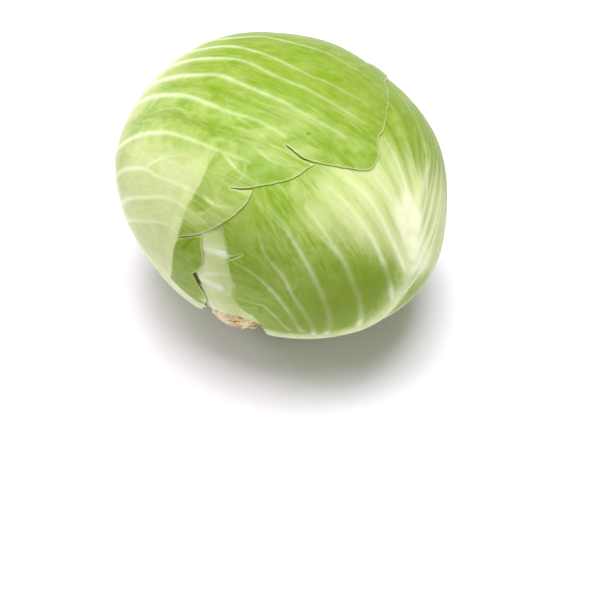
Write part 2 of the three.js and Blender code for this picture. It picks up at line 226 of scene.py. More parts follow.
class Leaf:
    """A wrapper leaf: its outline, its midrib, and the leaves over and under it.

    The edge is a list of stretches, clockwise as seen from outside, each with its points, how
    far the margin lifts there and how ragged it is, in millimetres."""

    def __init__(self, name, middle, midrib, edge, seed, lies_on=()):
        self.name = name
        self.middle = middle
        self.lies_on = lies_on
        self.covered_by = ()
        self.midrib = midrib
        self.random = np.random.default_rng(seed)
        self.right = unit(np.cross(APEX, middle))
        self.toward = np.cross(middle, self.right)
        corners = np.concatenate([points for points, _, _ in edge])
        lift = np.concatenate([np.full(len(points), lift) for points, lift, _ in edge])
        ragged = np.concatenate([np.full(len(points), rough) for points, _, rough in edge])
        loop, place = ring_through(corners, EDGE_SPACING, passes=3)
        at = np.arange(len(corners) + 1)
        self.lift = np.interp(place, at, np.append(lift, lift[0]))
        rough = np.interp(place, at, np.append(ragged, ragged[0]))
        length = len(loop) * EDGE_SPACING
        along = np.roll(loop, -1, axis=0) - np.roll(loop, 1, axis=0)
        outward = unit(np.cross(loop, along))
        wander = rough * waver(length, len(loop), RAGGED_WAVES, self.random)
        self.loop = unit(loop + outward * wander[:, None] / MEAN_REACH)
        self.lift = self.lift * (1 + 0.4 * waver(length, len(loop), LIFT_WAVES, self.random))
        fine, place = ring_through(self.loop, FINE_EDGE_SPACING, passes=0)
        self.fine_edge = fine
        self.fine_lift = np.interp(place, np.arange(len(self.lift)), self.lift)
        self.coarse_edge = self.flat(self.loop[::2])

    def flat(self, dirs):
        """Directions as points of a plane, with angles kept."""
        away = 1 + dirs @ self.middle
        return np.stack([dirs @ self.right, dirs @ self.toward], axis=1) / away[:, None]

    def depth(self, dirs):
        """Millimetres from the edge to each direction, less than 0 outside the leaf."""
        x, y = self.flat(dirs).T
        odd = np.zeros(len(dirs), bool)
        for (x0, y0), (x1, y1) in zip(self.coarse_edge, np.roll(self.coarse_edge, -1, axis=0)):
            if y0 != y1:
                crosses = (y0 > y) != (y1 > y)
                odd ^= crosses & (x < x0 + (y - y0) * (x1 - x0) / (y1 - y0))
        distance = nearest(dirs, self.fine_edge)[1]
        return np.where(odd, distance, -distance)

    def margin_lift(self, dirs):
        """How far the margin lifts at the part of the edge nearest each direction."""
        return self.fine_lift[nearest(dirs, self.fine_edge)[0]]

    def cover(self, dirs):
        """1 where this leaf holds up what lies on it, down to 0 clear of it."""
        return smooth(-7, -1, self.depth(dirs))

    def inner_reach(self, dirs):
        under = sum(LAYER * leaf.cover(dirs) for leaf in self.lies_on)
        return core_reach(dirs) + GAP + under

    def bareness(self, dirs):
        """1 where the leaf lies bare, 0 where another leaf covers it."""
        bare = np.ones(len(dirs))
        for leaf in self.covered_by:
            bare *= 1 - smooth(-3, -0.2, leaf.depth(dirs))
        return bare

    def clearance(self):
        """How far the leaf stays above the table, because leaf_2 lies between them."""
        return sum(LAYER for leaf in self.covered_by if leaf.name == "leaf_2")

    def surface(self, dirs):
        """Reach of the outer face, away from the edge."""
        depth = REST_HEIGHT - self.clearance()
        return held(self.inner_reach(dirs) + BLADE, dirs, depth)


def spread_points(spacing):
    """Directions spread evenly over a whole sphere, so many millimetres apart."""
    count = int(4 * math.pi * MEAN_REACH**2 / (spacing**2 * 0.866))
    k = np.arange(count) + 0.5
    height = 1 - 2 * k / count
    turn = k * math.pi * (3 - math.sqrt(5))
    flat = np.sqrt(1 - height**2)
    return np.stack([flat * np.cos(turn), flat * np.sin(turn), height], axis=1)


def net_of_face(leaf, spacing):
    """Directions and triangles of one face of a leaf, with the edge's points first."""
    along = np.roll(leaf.loop, -1, axis=0) - np.roll(leaf.loop, 1, axis=0)
    inward = unit(np.cross(along, leaf.loop))
    inset = unit(leaf.loop + inward * EDGE_INSET / MEAN_REACH)
    inset = inset[leaf.depth(inset) > 0.7 * EDGE_INSET]
    dirs = spread_points(spacing)
    dirs = dirs[dirs @ leaf.middle > (leaf.loop @ leaf.middle).min()]
    dirs = dirs[leaf.depth(dirs) > EDGE_INSET + 0.4 * spacing]
    dirs = np.concatenate([inset, dirs])
    points = leaf.flat(np.concatenate([leaf.loop, dirs]))
    count = len(leaf.loop)
    ring = list(range(count))[::-1]
    net = delaunay_2d_cdt([Vector(p) for p in points.tolist()], [], [ring], 1, 1e-7)
    source = np.array([origin[0] for origin in net[3]])
    triangles = source[np.array(net[2])]
    a, b, c = (points[triangles[:, k]] for k in range(3))
    turned = (b - a)[:, 0] * (c - a)[:, 1] - (b - a)[:, 1] * (c - a)[:, 0] < 0
    triangles[turned] = triangles[turned][:, ::-1]
    return dirs, triangles


def new_object(name, positions, edges, faces, values):
    """A mesh object in metres, with smooth faces and a value for each point by name."""
    mesh = bpy.data.meshes.new(name)
    mesh.from_pydata((positions * MM).tolist(), edges, faces)
    for key, value in values.items():
        vector = value.ndim > 1
        layer = mesh.attributes.new(key, "FLOAT_VECTOR" if vector else "FLOAT", "POINT")
        layer.data.foreach_set("vector" if vector else "value", value.astype(np.float32).ravel())
    mesh.polygons.foreach_set("use_smooth", np.ones(len(mesh.polygons), bool))
    made = bpy.data.objects.new(name, mesh)
    bpy.context.collection.objects.link(made)
    return made


UNDERSIDE_DARK = 1.5  # beneath the leaves hardly any light is left


def blade(leaf, veins, tones):
    """The leaf as a closed thin shell with a rounded edge and a lifted margin."""
    outer_dirs, outer_net = net_of_face(leaf, POINT_SPACING)
    inner_dirs, inner_net = net_of_face(leaf, UNDERSIDE_SPACING)
    dirs = np.concatenate([leaf.loop, outer_dirs, inner_dirs])
    count, outer_count = len(leaf.loop), len(outer_dirs)
    depth = np.maximum(leaf.depth(dirs), 0)
    depth[:count] = 0
    face = np.concatenate([np.zeros(count), np.ones(outer_count), -np.ones(len(inner_dirs))])
    rounding = np.sqrt(1 - (1 - np.minimum(depth / EDGE_ROUND, 1)) ** 2)
    curl = (1 - smooth(0, CURL, depth)) * leaf.margin_lift(dirs)
    thickness = BLADE * (EDGE_SHARE + (1 - EDGE_SHARE) * smooth(0, CURL, depth))
    reach = leaf.inner_reach(dirs) + curl + thickness / 2 * (1 + face * rounding)
    floor = REST_HEIGHT - leaf.clearance() - np.where(face > 0, 0, BLADE)
    reach = held(reach, dirs, floor)
    inner_net = np.where(inner_net >= count, inner_net + outer_count, inner_net)
    faces = np.concatenate([outer_net, inner_net[:, ::-1]]).tolist()
    bare = leaf.bareness(dirs)
    stream = flow(leaf, dirs, veins)
    pale, dark, white = tones(leaf, dirs, stream[:, 0])
    values = {
        "outside": np.where(face > 0, np.minimum(depth / 1.5, 1), 0) * bare,
        # Painted highlight: a pale band on the outer face along the edge.
        "rim": np.where(face > 0, 1 - smooth(0.3, 0.9, depth), 0),
        "pale": pale,
        # Painted shade on the underside and on the wall of the edge.
        "dark": np.where(face > 0, dark, UNDERSIDE_DARK),
        "flow": stream,
        "vein": white,
    }
    positions = HEAD_MIDDLE + dirs * reach[:, None]
    return new_object(leaf.name + "_blade", positions, [], faces, values)


def vein(width, height, *stretches):
    """A vein: the width and height that it starts with, in millimetres, and its line from the
    midrib to where it fades out."""
    return width, height, curve_through(*stretches)


def mirrored(leaf, line):
    """The same vein on the other side of the midrib."""
    k = min(nearest(line[:1], leaf.midrib)[0][0], len(leaf.midrib) - 2)
    across = unit(np.cross(leaf.midrib[k], leaf.midrib[k + 1]))
    return line - 2 * (line @ across)[:, None] * across


def flow(leaf, dirs, veins):
    """Where each point is between the side veins, and how far from the midrib: what follows
    the veins is drawn in these coordinates."""
    samples, order = [], []
    for k, (_, _, line) in enumerate(veins):
        onward = line[-1] + (line[-1] - line[-6]) * np.arange(1, 9)[:, None]
        line = np.concatenate([line[::5], unit(onward)])
        for side in (line, mirrored(leaf, line)):
            samples.append(side)
            order.append(np.full(len(side), k))
    samples, order = np.concatenate(samples), np.concatenate(order)
    place = np.empty(len(dirs))
    for part in np.array_split(np.arange(len(dirs)), 1 + len(dirs) // 4000):
        gap = 2 - 2 * dirs[part] @ samples.T
        weight = 1 / (gap * MEAN_REACH**2 + 25) ** 2.2
        place[part] = (weight @ order) / weight.sum(axis=1)
    index, across = nearest(dirs, leaf.midrib)
    k = np.minimum(index, len(leaf.midrib) - 2)
    side = np.einsum("ij,ij->i", np.cross(leaf.midrib[k], leaf.midrib[k + 1]), dirs)
    return np.stack([place, across / 20, np.tanh(side * 200)], axis=1)


FULL_HEIGHT = 0.45  # veins lower than this are less white too


def vein_lines(leaf, name, veins, fade, with_mirror, fade_in):
    """Lines on the leaf's face, with the width, height and paleness of the vein there."""
    positions, edges, width, height, shade = [], [], [], [], []
    for start_width, start_height, line in veins:
        for dirs in (line, mirrored(leaf, line)) if with_mirror else (line,):
            taper = np.linspace(1, fade, len(dirs))
            taper *= smooth(0, fade_in, np.linspace(0.05, 1, len(dirs)))
            first = len(width)
            positions.extend(HEAD_MIDDLE + dirs * leaf.surface(dirs)[:, None])
            edges.extend((first + k, first + k + 1) for k in range(len(dirs) - 1))
            width.extend(start_width * (0.4 + 0.6 * taper) * MM)
            height.extend(start_height * taper * MM)
            shade.extend(taper * min(1, start_height / FULL_HEIGHT))
    values = {"width": np.array(width), "height": np.array(height), "shade": np.array(shade)}
    return new_object(name, np.array(positions), edges, [], values)


def add_node(tree, kind, inputs=(), output=0, **settings):
    """Adds a node with its settings. Each input, by number or name, takes a value or a link from
    another node's output. Gives back one of the new node's own outputs."""
    node = tree.nodes.new(kind)
    for key, value in settings.items():
        setattr(node, key, value)
    for key, value in (inputs if isinstance(inputs, dict) else dict(enumerate(inputs))).items():
        if isinstance(value, bpy.types.NodeSocket):
            tree.links.new(value, node.inputs[key])
        else:
            node.inputs[key].default_value = value
    return node.outputs[output] if len(node.outputs) else None


MATH = "ShaderNodeMath"
VECTOR = "ShaderNodeVectorMath"
RANGE = "ShaderNodeMapRange"
NOISE = "ShaderNodeTexNoise"
EASED = {"interpolation_type": "SMOOTHSTEP"}
VEIN_HALO = 0.3  # share of a vein's paleness that lies in the soft band around it
HALO_FALL = 0.12  # how fast that band fades, where the vein itself fades at 1
VEIN_ROOM = 6 * MM  # height above the table at which a vein has all its height


def vein_tree():
    """Raises veins out of a leaf's outer face along lines laid on it."""
    tree = bpy.data.node_groups.new("veins_on_leaf", "GeometryNodeTree")
    for name, kind in (
        ("Leaf", "Geometry"),
        ("Vein lines", "Object"),
        ("Width", "Float"),
        ("Height", "Float"),
        ("Middle", "Vector"),
        ("Skin", "Material"),
    ):
        tree.interface.new_socket(name, in_out="INPUT", socket_type="NodeSocket" + kind)
    tree.interface.new_socket("Leaf", in_out="OUTPUT", socket_type="NodeSocketGeometry")
    given = tree.nodes.new("NodeGroupInput").outputs
    add = partial(add_node, tree)
    lines = add("GeometryNodeObjectInfo", [given["Vein lines"]], "Geometry")
    place = add("GeometryNodeInputPosition")
    distance = add("GeometryNodeProximity", [lines], "Distance", target_element="EDGES")
    index = add("GeometryNodeSampleNearest", [lines], domain="POINT")
    width, height, shade = (
        add("GeometryNodeSampleIndex", {0: lines, "Value": value, "Index": index})
        for value in (
            add("GeometryNodeInputNamedAttribute", [name]) for name in ("width", "height", "shade")
        )
    )
    width = add(MATH, [width, given["Width"]], operation="MULTIPLY")
    height = add(MATH, [height, given["Height"]], operation="MULTIPLY")
    share = add(MATH, [distance, width], operation="DIVIDE")
    square = add(MATH, [share, share], operation="MULTIPLY")
    profile = add(MATH, [add(MATH, [square, -1.0], operation="MULTIPLY")], operation="EXPONENT")
    halo = add(MATH, [add(MATH, [square, -HALO_FALL], operation="MULTIPLY")], operation="EXPONENT")
    glow = add(MATH, [profile, 1 - VEIN_HALO], operation="MULTIPLY")
    glow = add(MATH, [halo, VEIN_HALO, glow], operation="MULTIPLY_ADD")
    # A vein is pressed flat where the head rests, and where another leaf lies on it.
    above = add("ShaderNodeSeparateXYZ", [place], 2)
    room = add(RANGE, [above, 0.0, VEIN_ROOM], **EASED)
    bare = add("GeometryNodeInputNamedAttribute", ["outside"])
    rise = add(MATH, [profile, height], operation="MULTIPLY")
    rise = add(MATH, [rise, bare], operation="MULTIPLY")
    rise = add(MATH, [rise, room], operation="MULTIPLY")
    outward = add(VECTOR, [place, given["Middle"]], operation="SUBTRACT")
    outward = add(VECTOR, [outward], operation="NORMALIZE")
    offset = add(VECTOR, {0: outward, "Scale": rise}, operation="SCALE")
    raised = add("GeometryNodeSetPosition", {"Geometry": given["Leaf"], "Offset": offset})
    before = add("GeometryNodeInputNamedAttribute", ["vein"])
    shade = add(MATH, [glow, shade], operation="MULTIPLY")
    shade = add(MATH, [before, shade], operation="MAXIMUM")
    stored = add(
        "GeometryNodeStoreNamedAttribute", {"Geometry": raised, "Name": "vein", "Value": shade}
    )
    real = add("GeometryNodeRealizeInstances", [stored])
    dressed = add("GeometryNodeSetMaterial", {"Geometry": real, "Material": given["Skin"]})
    add("NodeGroupOutput", [dressed])
    return tree


def through_tree(made, tree, **inputs):
    """The object with a tree's result as its plain mesh."""
    modifier = made.modifiers.new(tree.name, "NODES")
    modifier.node_group = tree
    for item in tree.interface.items_tree:
        key = item.name.replace(" ", "_")
        if item.in_out == "INPUT" and key in inputs:
            modifier[item.identifier] = inputs[key]
    evaluated = made.evaluated_get(bpy.context.evaluated_depsgraph_get())
    mesh = bpy.data.meshes.new_from_object(evaluated)
    made.modifiers.remove(modifier)
    old = made.data
    made.data = mesh
    bpy.data.meshes.remove(old)
    return made


# Materials.
def linear(code):
    """An sRGB hex colour as linear values."""
    channels = [int(code[k : k + 2], 16) / 255 for k in (1, 3, 5)]
    return [c / 12.92 if c <= 0.04045 else ((c + 0.055) / 1.055) ** 2.4 for c in channels] + [1]


def new_material(name):
    material = bpy.data.materials.new(name)
    material.use_nodes = True
    material.node_tree.nodes.clear()
    return material, partial(add_node, material.node_tree)


DEEP_SHADOW = "#2c3a0e"  # in folds, holes and spots, where hardly any light comes out


def leaf_skin(name, deep, light, soft, pale, shade, rib, rim):
    """Living cabbage leaf: a waxy cuticle over soft, watery green tissue. The wax gives it a
    wide, soft gloss, light goes a few millimetres into it, and the veins, which hold little
    green, show pale."""
    material, add = new_material(name)
    place = add("ShaderNodeTexCoord", output="Object")
    along = add("ShaderNodeAttribute", output="Vector", attribute_name="flow")
    paleness, darkness, veined, edge = (
        add("ShaderNodeAttribute", output="Fac", attribute_name=key)
        for key in ("pale", "dark", "vein", "rim")
    )
    # Blotches about 20 mm and 7 mm across, where the leaf grew thicker or thinner.
    blotches = add(NOISE, {"Vector": place, "Scale": 50.0, "Detail": 3.0, "Roughness": 0.55})
    mottle = add(NOISE, {"Vector": place, "Scale": 140.0, "Detail": 2.0, "Roughness": 0.55})
    # Soft streaks about 5 mm wide, and strokes about 2 mm wide, that run with the side veins.
    streaks, strokes = (
        add(
            NOISE,
            {
                "Vector": add(VECTOR, [along, stretch], operation="MULTIPLY"),
                "Scale": 1.5,
                "Detail": 3.0,
                "Roughness": 0.6,
            },
        )
        for stretch in ((1.6, 0.9, 3.0), (5.2, 2.2, 3.0))
    )
    # Meshes of thin veins: long ones between the side veins, about 5 mm by 15 mm, and in them
    # a net about 2.5 mm wide.
    warp = add(NOISE, {"Vector": place, "Scale": 70.0, "Detail": 2.0}, 1)
    nets = []
    for vector, shift, stretch, scale in (
        (along, 0.6, (2.4, 1.5, 3.0), 1.0),
        (place, 0.011, (1.0, 1.0, 1.0), 380.0),
    ):
        moved = add(VECTOR, [warp, (shift, shift, shift), vector], operation="MULTIPLY_ADD")
        moved = add(VECTOR, [moved, stretch], operation="MULTIPLY")
        line = add(
            "ShaderNodeTexVoronoi", {"Vector": moved, "Scale": scale}, feature="DISTANCE_TO_EDGE"
        )
        nets.append(add(RANGE, [line, 0.0, 0.27, 1.0, 0.0], **EASED))
    long_net, fine_net = nets

    lightness = add(MATH, [streaks, blotches], operation="ADD")
    # Pale parts end in streaks and strokes.
    paleness = add(MATH, [streaks, 0.45, paleness], operation="MULTIPLY_ADD")
    paleness = add(MATH, [strokes, 0.5, paleness], operation="MULTIPLY_ADD")
    whiteness = add(MATH, [
        add(RANGE, [veined, 0.03, 0.95], **EASED),
        add(RANGE, [mottle, 0.3, 0.65, 0.7, 0.95], **EASED),
    ], operation="MULTIPLY")
    # Each coat of colour, over the one before: how much of it shows, and the colour.
    coats = (
        (
            [
                add(RANGE, [lightness, 0.8, 1.3], **EASED),
                add(RANGE, [darkness, 0.0, 1.0, 1.0, 0.35]),
            ],
            light,
        ),
        ([add(RANGE, [paleness, 0.52, 1.4], **EASED), 1.0], pale),
        ([add(RANGE, [mottle, 0.4, 0.75], **EASED), 0.25], soft),
        ([add(RANGE, [strokes, 0.4, 0.72], **EASED), 0.5], soft),
        ([long_net, add(RANGE, [blotches, 0.35, 0.65, 0.05, 0.3], **EASED)], soft),
        ([fine_net, add(RANGE, [mottle, 0.4, 0.7, 0.02, 0.1], **EASED)], soft),
        # The dark attribute carries painted shade (folds, the hole, undersides, edges, the top of
        # leaf_1, the low side of leaf_2) besides the leaf's own darker green.
        ([darkness, 0.75], shade),
        ([add(RANGE, [darkness, 1.0, 2.0], **EASED), 0.85], DEEP_SHADOW),
        ([whiteness, add(RANGE, [darkness, 0.2, 1.2, 1.0, 0.15], **EASED)], rib),
        # Painted highlight along the edges.
        ([edge, 0.6], rim),
    )
    green = linear(deep)
    for factors, colour in coats:
        share = add(MATH, factors, operation="MULTIPLY")
        green = add("ShaderNodeMix", {0: share, 6: green, 7: linear(colour)}, 2, data_type="RGBA")

    swell = add(MATH, [long_net, 0.1], operation="MULTIPLY")
    swell = add(MATH, [fine_net, 0.1, swell], operation="MULTIPLY_ADD")
    swell = add(MATH, [blotches, 1.3, swell], operation="MULTIPLY_ADD")
    bump = add("ShaderNodeBump", {"Strength": 0.4, "Distance": 0.6 * MM, "Height": swell})
    shader = add(
        "ShaderNodeBsdfPrincipled",
        {
            "Base Color": green,
            "Roughness": add(RANGE, [blotches, 0.3, 0.7, 0.36, 0.5], **EASED),
            "IOR": 1.33,
            "Specular IOR Level": 0.2,
            "Subsurface Weight": 0.18,
            "Subsurface Radius": (0.7, 1.0, 0.3),
            "Subsurface Scale": 3 * MM,
            "Normal": bump,
        },
    )
    add("ShaderNodeOutputMaterial", {"Surface": shader})
    return material


def stem_flesh(name):
    """Cut cabbage stem: pale woody pith that dries to tan, crumbles and browns in patches."""
    material, add = new_material(name)
    place = add("ShaderNodeTexCoord", output="Object")
    # Patches about 9 mm across and grain about 1.5 mm across.
    patches = add(
        NOISE,
        {"Vector": place, "Scale": 110.0, "Detail": 4.0, "Roughness": 0.65, "Distortion": 1.3},
    )
    grain = add(NOISE, {"Vector": place, "Scale": 650.0, "Detail": 3.0, "Roughness": 0.7})
    # One side is browner.
    browner_side = add(VECTOR, [place, (-7.0, 0.0, 0.0)], "Value", operation="DOT_PRODUCT")
    browner_side = add(MATH, [patches, browner_side], operation="ADD")
    pith = add("ShaderNodeValToRGB", [browner_side])
    stops = pith.node.color_ramp.elements
    stops[0].position, stops[0].color = 0.36, linear("#9a6b2e")
    stops[1].position, stops[1].color = 0.6, linear("#f0e8c8")
    stops.new(0.45).color = linear("#d6c08c")
    crumbs = add(RANGE, [grain, 0.28, 0.46, 0.75, 0.0], **EASED)
    colour = add("ShaderNodeMix", {0: crumbs, 6: pith, 7: linear("#6d4a24")}, 2, data_type="RGBA")
    shader = add(
        "ShaderNodeBsdfPrincipled",
        {
            "Base Color": colour,
            "Roughness": 0.85,
            "Subsurface Weight": 0.1,
            "Subsurface Radius": (1.0, 0.8, 0.5),
            "Subsurface Scale": 2 * MM,
            "Normal": add("ShaderNodeBump", {"Strength": 0.6, "Distance": MM, "Height": grain}),
        },
    )
    add("ShaderNodeOutputMaterial", {"Surface": shader})
    return material


OUTER_SKIN = leaf_skin(
    "waxy_outer_leaf",
    "#739918", "#94ab46", "#b2c072", "#cad49a", "#728a10", "#e9eec6", "#d2dd96"
)
INNER_SKIN = leaf_skin(
    "pale_inner_leaf",
    "#92ac4c", "#a9bb68", "#b7c682", "#c6d399", "#7d921c", "#dbe2c4", "#d3dca8"
)

# The four leaves. Only the front of leaf_1 and leaf_2 is measured from the photograph.
LEAF_4 = Leaf(
    "leaf_4",
    direction(172, -28),
    curve_through(hidden((172, -77), (172, -28), (172, 12))),
    [
        (hidden((168, -77), (130, -76.5), (116, -60), (112, -40), (118, -18), (132, 0)), 0.2, 0.3),
        (hidden((152, 12), (176, 14), (-164, 6), (-150, -10), (-140, -30), (-132, -48)), 0.2, 0.3),
        (hidden((-134, -62), (-150, -76.5)), 0.2, 0.3),
    ],
    seed=4,
)
LEAF_3 = Leaf(
    "leaf_3",
    direction(-12, -30),
    curve_through(hidden((-30, -77), (-26, -50), (-24, -10))),
    [
        (hidden((-40, -75.5), (-41.5, -75)), 0, 0),
        (seen((203, 297), (190, 294), (178, 282), (174, 262), (178, 240), (185, 215)), 0, 0.2),
        (seen((197, 190), (210, 166), (226, 142)), 0, 0.2),
        (hidden((-14, 11), (-3, 7), (5, -3), (9, -16), (10, -34), (7, -52), (6, -66)), 0, 0.3),
        (hidden((2, -71), (-12, -71.5), (-25, -73)), 0.2, 0.4),
    ],
    seed=3,
)
LEAF_2 = Leaf(
    "leaf_2",
    direction(68, -20),
    curve_through(
        hidden((88, -77), (86, -62), (80, -48), (71, -34), (63, -21)),
        seen((414, 252), (417, 228), (419, 206), (422, 184)),
    ),
    [
        (hidden((84, -77), (62, -77)), 0, 0),
        (seen((262, 326), (250, 315), (240, 308), (235, 300), (231.5, 293.5)), 0.3, 0.9),
        (seen((235, 288), (232, 282), (231, 277), (228, 268), (225, 260.5)), 0.2, 0.5),
        (seen((233, 258.2), (243, 254)), 0.15, 0),
        (seen((232.8, 257.2), (226.5, 254.5)), 0.15, 0),
        (seen((226, 247), (224, 240), (221, 227)), 0.2, 0.15),
        (hidden((-24, -8), (-20, 8), (-6, 22), (12, 41), (36, 58), (72, 68), (112, 66)), 0, 0.3),
        (hidden((146, 54), (170, 36), (-174, 18), (-166, -2)), 0, 0.3),
        (hidden((-156, -22), (-148, -40), (-160, -53), (-178, -61)), 0.8, 0.5),
        (hidden((165, -66), (140, -71), (116, -76)), 0.6, 0.3),
    ],
    seed=2,
    lies_on=(LEAF_3, LEAF_4),
)
LEAF_1 = Leaf(
    "leaf_1",
    direction(-100, 5),
    curve_through(hidden((-104, -77), (-103, -45), (-101, -10), (-99, 30), (-96, 58))),
    [
        (hidden((-104, -77), (-122, -76)), 0, 0),
        (hidden((-137, -66), (-150, -53), (-163, -38), (-177, -20)), 1.0, 0.5),
        (hidden((171, -2), (157, 18), (144, 37), (128, 53), (108, 63), (90, 65)), 0.6, 0.5),
        (seen((385, 82), (389, 98), (387, 112), (383.5, 132.5), (378, 137), (379, 158)), 0.1, 0.5),
        (seen((373, 169), (367.5, 171.5), (343, 168), (318, 163.5)), 0.1, 0.35),
        (seen((302, 158), (291, 149)), 0.4, 0.1),
        (seen((284, 144)), 0.1, 0),
        (seen((290.4, 149.9), (301.4, 159.2), (316, 164.8)), -0.2, 0),
        (seen((307, 169), (295, 178), (284, 182), (261, 186.5)), 0.05, 0.35),
        (seen((242, 189)), 0.2, 0.1),
        (seen((229, 188)), 0.1, 0),
        (seen((242, 190), (254, 189.4)), -0.2, 0),
        (seen((247, 204), (238, 213), (222, 224), (203, 233.5)), 0.1, 0.3),
        (seen((185, 236)), 0.4, 0),
        (seen((178, 238)), 0.1, 0),
        (seen((185, 237.1), (202.5, 235.2)), -0.2, 0),
        (seen((202, 246), (203.5, 255), (203.7, 263.6), (200.6, 269)), 0.1, 0.4),
        (seen((193.7, 272.4), (199, 283.4)), 1.2, 0),
        (seen((203.7, 291), (207, 299)), 0.2, 0.2),
        (hidden((-62, -76), (-84, -77)), 0, 0),
    ],
    seed=1,
    lies_on=(LEAF_2, LEAF_3, LEAF_4),
)
LEAF_2.covered_by = (LEAF_1,)
LEAF_3.covered_by = (LEAF_1, LEAF_2)
LEAF_4.covered_by = (LEAF_1, LEAF_2)

# Side veins, from the stem end of the midrib to its tip.
LEAF_1_VEINS = [
    vein(
        1.7, 0.55,
        hidden((-103, -43), (-88, -36)), seen((128, 221), (150, 222), (167, 225), (178, 232)),
    ),
    vein(
        1.8, 0.6,
        hidden((-103, -36), (-85, -28)),
        seen((127, 200), (145, 198), (162, 198), (185, 207), (206, 222)),
    ),
    vein(
        1.8, 0.6,
        hidden((-102, -29), (-84, -19)),
        seen((122, 171), (144, 169.5), (155, 176), (176, 184), (200, 194)),
    ),
    vein(
        2.1, 0.8,
        hidden((-102, -21), (-86, -11)),
        seen((123, 144), (145, 134), (167, 133), (189, 139), (216, 150), (250, 163)),
    ),
    vein(
        2.1, 0.8,
        hidden((-101, -5)),
        seen((134, 107), (157, 96), (187, 96), (203, 101.5), (229, 112), (261, 123), (286, 138)),
    ),
    vein(
        2.0, 0.75,
        hidden((-101, 5), (-84, 14)),
        seen((157, 82), (192, 75), (219, 75), (242, 84), (274.5, 98), (307, 116), (345, 138)),
    ),
    vein(
        1.8, 0.6,
        hidden((-100, 15), (-82, 23)),
        seen((176, 64), (210, 58), (242, 60), (270, 73), (295, 84), (330, 103), (364, 124)),
    ),
    vein(
        1.7, 0.5,
        hidden((-99, 25), (-80, 32)),
        seen((200, 49), (232, 46), (262, 53), (300, 70), (332, 86), (368, 106)),
    ),
    vein(
        1.5, 0.45,
        hidden((-98, 36), (-76, 42)),
        seen((229, 38), (261, 36), (295, 43), (330, 54), (357, 71), (380, 90)),
    ),
]
LEAF_1_FORKS = [
    vein(1.2, 0.3, seen((140, 170), (150, 164), (164, 157.5), (180, 156))),
    vein(1.0, 0.2, seen((166, 103), (178, 107), (191, 118), (208, 127), (224, 133))),
    vein(1.0, 0.2, seen((224, 109), (246, 124), (262, 136), (280, 152))),
    vein(1.0, 0.2, seen((270, 95), (296, 112), (318, 128), (338, 146))),
    vein(1.2, 0.32, seen((218, 149), (229, 160), (240, 172), (258, 184))),
    vein(1.0, 0.25, seen((242, 157), (246, 166), (242, 178), (232, 186))),
    vein(1.2, 0.32, seen((200, 192), (214, 203), (226, 207), (240, 207))),
    vein(1.0, 0.25, seen((192, 214), (206, 212), (218, 203), (228, 196))),
    vein(1.0, 0.25, seen((252, 145), (266, 158), (282, 166), (298, 166))),
]
LEAF_2_VEINS = [
    vein(1.2, 0.4, seen((290, 331), (279, 321), (262, 306), (239, 298))),
    vein(
        1.6, 0.6,
        seen((302, 332), (294, 320), (281, 302), (266, 284), (250, 271), (234, 262)),
    ),
    vein(
        1.7, 0.6,
        hidden((85, -58)),
        seen((312, 326), (303, 311), (294, 298), (282, 275), (266, 255), (258, 234)),
    ),
    vein(
        2.1, 0.9,
        hidden((83, -54)),
        seen((330, 324), (325, 303), (311, 272), (297, 247), (284, 224), (268, 206)),
    ),
    vein(
        2.1, 0.85,
        hidden((76, -42)),
        seen((360, 303), (354, 286), (346, 266), (336, 250), (322, 229), (305, 206)),
    ),
    vein(
        2.0, 0.8,
        hidden((66, -26)),
        seen((385, 268), (378, 250), (370, 234), (358, 218), (347, 204), (330, 188)),
    ),
    vein(
        1.9, 0.75,
        hidden((61, -16)), seen((397, 250), (389, 234), (378, 212), (365, 194), (345, 176)),
    ),
    vein(1.9, 0.7, seen((412, 255), (406, 232), (399, 216), (391, 198), (376, 178))),
    vein(1.6, 0.4, seen((417, 226), (411, 206), (406, 185), (397, 160), (385, 138))),
    vein(1.4, 0.25, seen((419, 203), (419, 185), (415, 167), (408, 147), (399, 127))),
    vein(1.2, 0.2, seen((423, 182), (427, 166), (426, 150), (420, 134), (409, 114))),
]
LEAF_2_FORKS = [
    vein(1.2, 0.35, seen((314, 279), (304, 260), (292, 240), (278, 222), (262, 206))),
    vein(1.1, 0.25, seen((350, 275), (338, 256), (322, 238), (306, 222), (292, 206))),
    vein(1.0, 0.25, seen((376, 247), (362, 228), (345, 212), (326, 198))),
]
LEAF_3_VEINS = [
    vein(1.4, 0.35, hidden((-30, -70), (-20, -67), (-8, -66))),
    vein(3.0, 0.45, hidden((-40, -48)), seen((198, 276), (206, 274.5), (218, 274), (234, 276))),
    vein(3.0, 0.45, hidden((-40, -30)), seen((198, 247), (206, 246), (216, 246), (229, 249))),
]
LEAF_4_VEINS = [
    vein(1.6, 0.4, hidden((172, -60), (158, -46), (140, -38), (124, -34))),
    vein(1.6, 0.4, hidden((172, -42), (156, -26), (140, -16), (126, -12))),
    vein(1.6, 0.4, hidden((172, -22), (160, -8), (150, 2), (146, 8))),
]

# Edge of leaf_3 under leaf_1, where the pale side of leaf_1 ends.
PALE_LIMIT = curve_through(
    seen((248, 106), (239, 120), (232, 132), (226, 142), (220, 151), (210, 166)),
    seen((202, 184), (188, 207), (182, 225)),
    seen((178, 240), (174.5, 250), (173.5, 262), (172, 273), (168, 283)),
    spacing=0.5,
)
